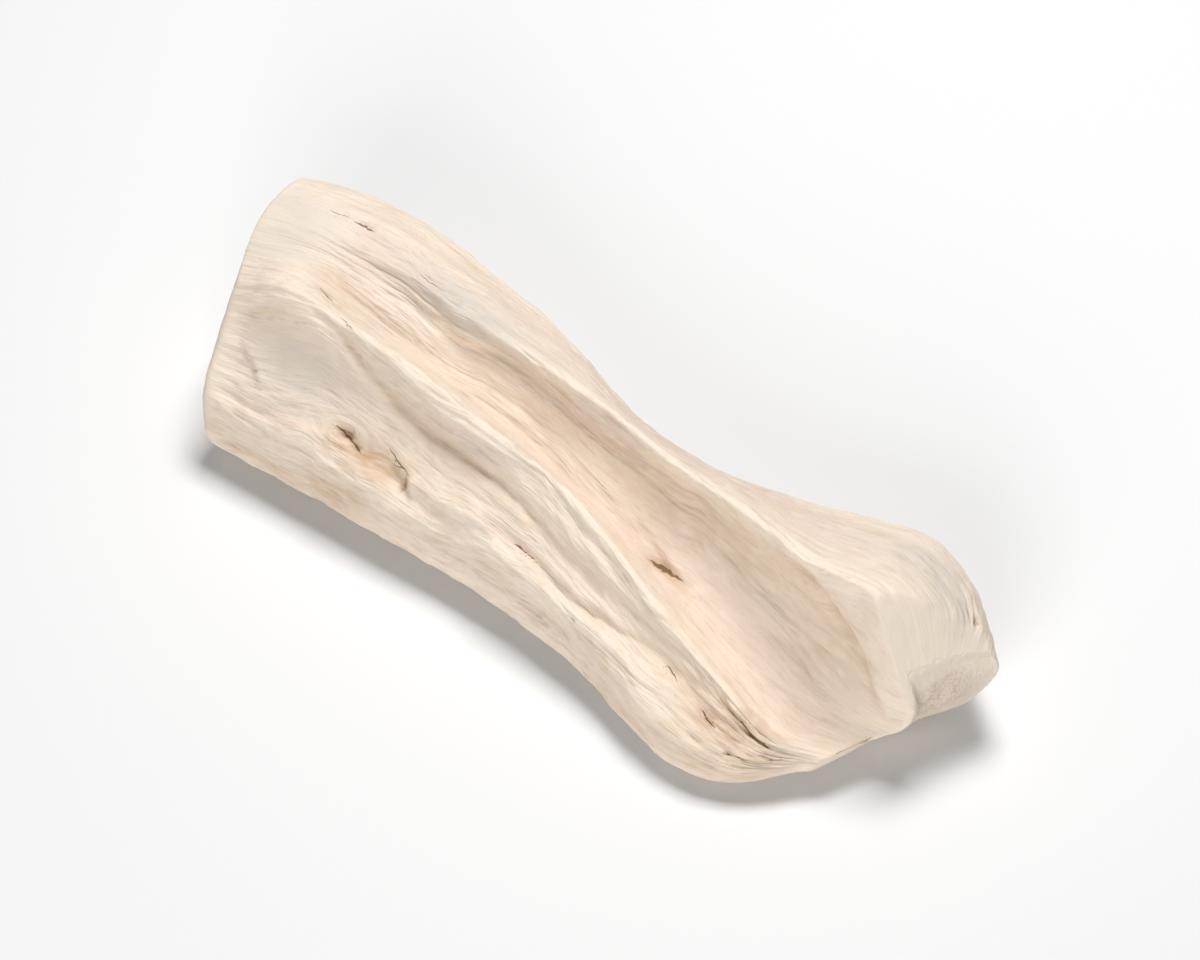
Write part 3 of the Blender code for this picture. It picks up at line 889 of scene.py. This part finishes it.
def bleached_root_wood(colours):
    """Bleached root wood, stripped of bark, tumbled by water and sand and dried in the sun.

    The eye gets a matt, pale cream face, honey-coloured where it is hollow, silver-grey in patches, with
    fine darker fibres along the grain and brown in the checks. Some streaks are painted light: painted shade
    in creases, furrows and low on the front, and one lighter streak on a shaded wall.
    """
    material = bpy.data.materials.new("bleached_root_wood")
    material.use_nodes = True
    tree = material.node_tree
    shader = tree.nodes["Principled BSDF"]
    shader.inputs["Metallic"].default_value = 0.0
    shader.inputs["IOR"].default_value = 1.5
    shader.inputs["Specular IOR Level"].default_value = 0.3

    # What the coats may read: what was carved and stored, and the patterns along the grain.
    read = {}
    for name in ("relief", "hollow", "broken", "hole", "off_check", "opening", *PATCHES, *STREAKS):
        read[name] = add_node(tree, "ShaderNodeAttribute", attribute_name=name).outputs["Fac"]
    grain = add_node(tree, "ShaderNodeAttribute", attribute_name="grain").outputs["Vector"]
    for name, length, width, detail in PATTERNS:
        size = (length, width, width)
        place = add_node(tree, "ShaderNodeVectorMath", {0: grain, 1: size}, operation="DIVIDE")
        drawn = {"Vector": place, "Scale": 1.0, "Detail": detail}
        read[name] = add_node(tree, "ShaderNodeTexNoise", drawn, noise_dimensions="3D")
    span = {"From Min": PATCHY_FROM, "From Max": PATCHY_TO}
    read["patchy"] = add_node(tree, "ShaderNodeMapRange", {"Value": read["clouds"], **span})
    # A check shows where a point is nearer to its line than its lips, whose width follows the threads.
    span = {"From Min": 0.3, "From Max": 0.7, "To Min": LIP_LEAST, "To Max": LIP_MOST}
    ragged = add_node(tree, "ShaderNodeMapRange", {"Value": read["threads"], **span})
    lip = add_node(tree, "ShaderNodeMath", {0: read["opening"], 1: ragged}, operation="MULTIPLY")
    off_line = add_node(tree, "ShaderNodeMath", {0: read["off_check"]}, operation="ABSOLUTE")
    read["check"] = add_node(tree, "ShaderNodeMath", {0: lip, 1: off_line}, operation="SUBTRACT")

    surface = (*colours.bare, 1.0)
    for source, first, second, least, most, patch, colour in COATS:
        span = {"From Min": first, "From Max": second, "To Min": least, "To Max": most}
        shown = add_node(
            tree, "ShaderNodeMapRange", {"Value": read[source], **span}, interpolation_type="SMOOTHSTEP"
        )
        if patch:
            shown = add_node(tree, "ShaderNodeMath", {0: shown, 1: read[patch]}, operation="MULTIPLY")
        coat = (*getattr(colours, colour), 1.0)
        mixed = add_node(tree, "ShaderNodeMix", {0: shown, 6: surface, 7: coat}, data_type="RGBA")
        surface = mixed.outputs[2]
    tree.links.new(surface, shader.inputs["Base Color"])

    span = {"From Min": 0.3, "From Max": 0.7, "To Min": SMOOTH_BANDS, "To Max": ROUGH_BANDS}
    roughness = add_node(tree, "ShaderNodeMapRange", {"Value": read["bands"], **span})
    tree.links.new(roughness.outputs[0], shader.inputs["Roughness"])

    # The fine surface: fibres and flecks with threads between them, smoother where the wood is worn.
    threads = {0: read["threads"], 1: THREAD_HEIGHT, 2: read["fibres"]}
    fine = add_node(tree, "ShaderNodeMath", threads, operation="MULTIPLY_ADD")
    flecks = {0: read["flecks"], 1: FLECK_HEIGHT, 2: fine}
    flecked = add_node(tree, "ShaderNodeMath", flecks, operation="MULTIPLY_ADD")
    span = {"To Min": ROUGH_STRENGTH, "To Max": WORN_STRENGTH}
    strength = add_node(tree, "ShaderNodeMapRange", {"Value": read["worn"], **span})
    felt = {"Strength": strength, "Distance": FIBRE_HEIGHT * MM, "Height": flecked}
    bump = add_node(tree, "ShaderNodeBump", felt)
    tree.links.new(bump.outputs[0], shader.inputs["Normal"])
    return material


def pale_paper():
    """Matt white background paper: an even pale sheet with no gloss."""
    material = bpy.data.materials.new("pale_paper")
    material.use_nodes = True
    shader = material.node_tree.nodes["Principled BSDF"]
    shader.inputs["Base Color"].default_value = (*linear("#e9e9e9"), 1.0)
    shader.inputs["Roughness"].default_value = 0.95
    shader.inputs["Specular IOR Level"].default_value = 0.1
    return material


# ---- The add-on ----


def colour_choice(name, description, hex_colour):
    """A colour that a user can change, with an sRGB hex colour as its default."""
    return FloatVectorProperty(
        name=name,
        description=description,
        default=linear(hex_colour),
        subtype="COLOR",
        min=0.0,
        max=1.0,
    )


class DriftwoodWood(bpy.types.PropertyGroup):
    """What a user would change on the wood."""

    carving: FloatProperty(
        name="Carving",
        description="How deep the furrows and ledges are cut, as a share of their full depth",
        default=1.0,
        min=0.0,
        max=2.0,
        subtype="FACTOR",
    )
    relief: FloatProperty(
        name="Relief",
        description="How strong the relief along the grain is, as a share of its full depth",
        default=1.0,
        min=0.0,
        max=2.0,
        subtype="FACTOR",
    )
    seed: IntProperty(
        name="Grain seed",
        description="Which run of grain the relief takes",
        default=11,
        min=0,
    )
    bare: colour_choice("Bare wood", "Colour of the bleached face of the wood", "#e9d7c5")
    cream: colour_choice("Crests", "Colour of the crests that the sun has bleached most", "#f1e2d0")
    rosy: colour_choice("Rosy clouds", "Colour of the faint pinkish clouds in the wood", "#e0cbbf")
    honey: colour_choice("Hollows", "Colour of the wood in hollows, less bleached", "#dfcab0")
    silver: colour_choice("Silvered patches", "Colour of the patches that have weathered grey", "#d1c9be")
    tan: colour_choice("Fibres", "Colour of darker fibres, pores and crevices", "#c3a486")
    stain: colour_choice("Stain", "Colour of the resin stain round the knot", "#c29970")
    dark: colour_choice("Checks", "Colour deep in checks, pits and the knot", "#80603f")


class DriftwoodStudio(bpy.types.PropertyGroup):
    """What a user would change in the studio."""

    key_power: FloatProperty(
        name="Overhead light",
        description="Power of the large soft light above and behind the wood",
        default=10.0,
        min=0.0,
        subtype="POWER",
        unit="POWER",
    )
    low_power: FloatProperty(
        name="Low light",
        description="Power of the soft light that stands low at the front right",
        default=7.4,
        min=0.0,
        subtype="POWER",
        unit="POWER",
    )
    fill: FloatProperty(
        name="Fill",
        description="Strength of the even light from all round",
        default=0.08,
        min=0.0,
    )
    azimuth: FloatProperty(
        name="Camera azimuth",
        description="Way round the wood that the camera stands, from its front",
        default=math.radians(42.0),
        subtype="ANGLE",
        unit="ROTATION",
    )
    elevation: FloatProperty(
        name="Camera elevation",
        description="Height of the camera above the horizon, as an angle",
        default=math.radians(45.0),
        subtype="ANGLE",
        unit="ROTATION",
    )
    distance: FloatProperty(
        name="Camera distance",
        description="Distance from the camera to the middle of the wood",
        default=1.5,
        min=0.1,
        subtype="DISTANCE",
        unit="LENGTH",
    )


# Each softbox: its setting for power, its size, and how far off and which way it stands, in lengths
# of the wood. The low one lights the sides and hardly reaches the floor's shadow.
SOFTBOXES = {
    "overhead_softbox": ("key_power", 2.0, (-0.6, 1.6, 4.5)),
    "low_softbox": ("low_power", 2.5, (2.5, -4.4, 2.1)),
}
# How far the floor reaches, in lengths of the wood.
FLOOR_REACH = 15
# The lens and the width of the sensor in millimetres, and how far the camera is aimed off the middle
# of the wood, in shares of its size.
LENS = 200.0
SENSOR = 36.0
AIM = (0.0, 0.097, -0.08)


class DRIFTWOOD_OT_add_wood(bpy.types.Operator):
    """Loft, carve, weather and finish the piece of driftwood"""

    bl_idname = "driftwood.add_wood"
    bl_label = "Add Driftwood"
    bl_options = {"REGISTER", "UNDO"}

    def execute(self, context):
        settings = context.scene.driftwood_wood
        loft = Loft()
        loft.break_ends()
        loft.fit_frame()
        carving = Carving(loft, settings.carving)
        carving.carve()
        stored = {"grain": carving.grain(), "broken": loft.broken}
        stored["hollow"] = hollowness(loft.points, loft.outwards())
        stored |= {name: getattr(carving, name) for name in ("off_check", "opening", "hole")}
        stored |= {name: carving.patches(spots) for name, spots in PATCHES.items()}
        stored |= {name: carving.streaks(lines) for name, lines in STREAKS.items()}
        # The flat breaks and the ends are worn as well.
        stored["worn"] = np.maximum(stored["worn"], np.maximum(loft.broken, loft.end))
        mesh = skin_mesh(loft)
        for name, values in stored.items():
            store(mesh, name, values)
        rough = link_object("rough_driftwood", mesh)

        tree, values = relief_tree(settings)
        weather = rough.modifiers.new("Weathered relief", "NODES")
        weather.node_group = tree
        values["Material"] = bleached_root_wood(settings)
        for socket in tree.interface.items_tree:
            if socket.in_out == "INPUT" and socket.name in values:
                weather[socket.identifier] = values[socket.name]
        finished = bpy.data.meshes.new_from_object(rough.evaluated_get(context.evaluated_depsgraph_get()))
        bpy.data.objects.remove(rough)
        finished.shade_smooth()
        piece = link_object(PIECE, finished)
        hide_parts(NODE)
        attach(piece, "root")
        return {"FINISHED"}


class DRIFTWOOD_OT_add_studio(bpy.types.Operator):
    """Add the pale floor, the soft lights and the camera"""

    bl_idname = "driftwood.add_studio"
    bl_label = "Add Studio"
    bl_options = {"REGISTER", "UNDO"}

    def execute(self, context):
        scene = context.scene
        settings = scene.driftwood_studio
        low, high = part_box(NODE)
        middle = (low + high) / 2
        length = high.x - low.x

        floor = bpy.data.meshes.new("floor")
        reach = FLOOR_REACH * length
        corners = [(-reach, -reach, 0), (reach, -reach, 0), (reach, reach, 0), (-reach, reach, 0)]
        floor.from_pydata(corners, [], [(0, 1, 2, 3)])
        floor.materials.append(pale_paper())
        link_object("floor", floor)

        world = bpy.data.worlds.new("studio_air")
        world.use_nodes = True
        scene.world = world
        background = world.node_tree.nodes["Background"]
        background.inputs["Color"].default_value = (1.0, 1.0, 1.0, 1.0)
        background.inputs["Strength"].default_value = settings.fill

        for name, (power, size, stand) in SOFTBOXES.items():
            light = bpy.data.lights.new(name, "AREA")
            light.shape = "SQUARE"
            light.size = size * length
            light.energy = getattr(settings, power)
            lamp = link_object(name, light)
            lamp.location = middle + Vector(stand) * length
            lamp.rotation_euler = (middle - lamp.location).to_track_quat("-Z", "Y").to_euler()

        camera = bpy.data.cameras.new("camera")
        camera.lens = LENS
        camera.sensor_width = SENSOR
        view = link_object("camera", camera)
        turn, rise = settings.azimuth, settings.elevation
        back = Vector((math.sin(turn) * math.cos(rise), -math.cos(turn) * math.cos(rise), math.sin(rise)))
        aim = middle + Vector(AIM) * (high - low)
        view.location = aim + back * settings.distance
        view.rotation_euler = (-back).to_track_quat("-Z", "Y").to_euler()
        scene.camera = view
        scene.view_settings.view_transform = "Standard"
        return {"FINISHED"}


class DRIFTWOOD_PT_panel(bpy.types.Panel):
    """The driftwood's operators and settings"""

    bl_idname = "DRIFTWOOD_PT_panel"
    bl_label = "Driftwood"
    bl_space_type = "VIEW_3D"
    bl_region_type = "UI"
    bl_category = "Driftwood"

    def draw(self, context):
        groups = (
            (DRIFTWOOD_OT_add_wood, context.scene.driftwood_wood),
            (DRIFTWOOD_OT_add_studio, context.scene.driftwood_studio),
        )
        for operator, settings in groups:
            box = self.layout.box()
            box.operator(operator.bl_idname)
            for name in type(settings).__annotations__:
                box.prop(settings, name)


CLASSES = (
    DriftwoodWood,
    DriftwoodStudio,
    DRIFTWOOD_OT_add_wood,
    DRIFTWOOD_OT_add_studio,
    DRIFTWOOD_PT_panel,
)


def register():
    for cls in CLASSES:
        bpy.utils.register_class(cls)
    bpy.types.Scene.driftwood_wood = PointerProperty(type=DriftwoodWood)
    bpy.types.Scene.driftwood_studio = PointerProperty(type=DriftwoodStudio)


def unregister():
    del bpy.types.Scene.driftwood_studio
    del bpy.types.Scene.driftwood_wood
    for cls in reversed(CLASSES):
        bpy.utils.unregister_class(cls)


def main():
    register()
    bpy.ops.driftwood.add_studio()
    bpy.ops.driftwood.add_wood()


if __name__ == "__main__":
    main()
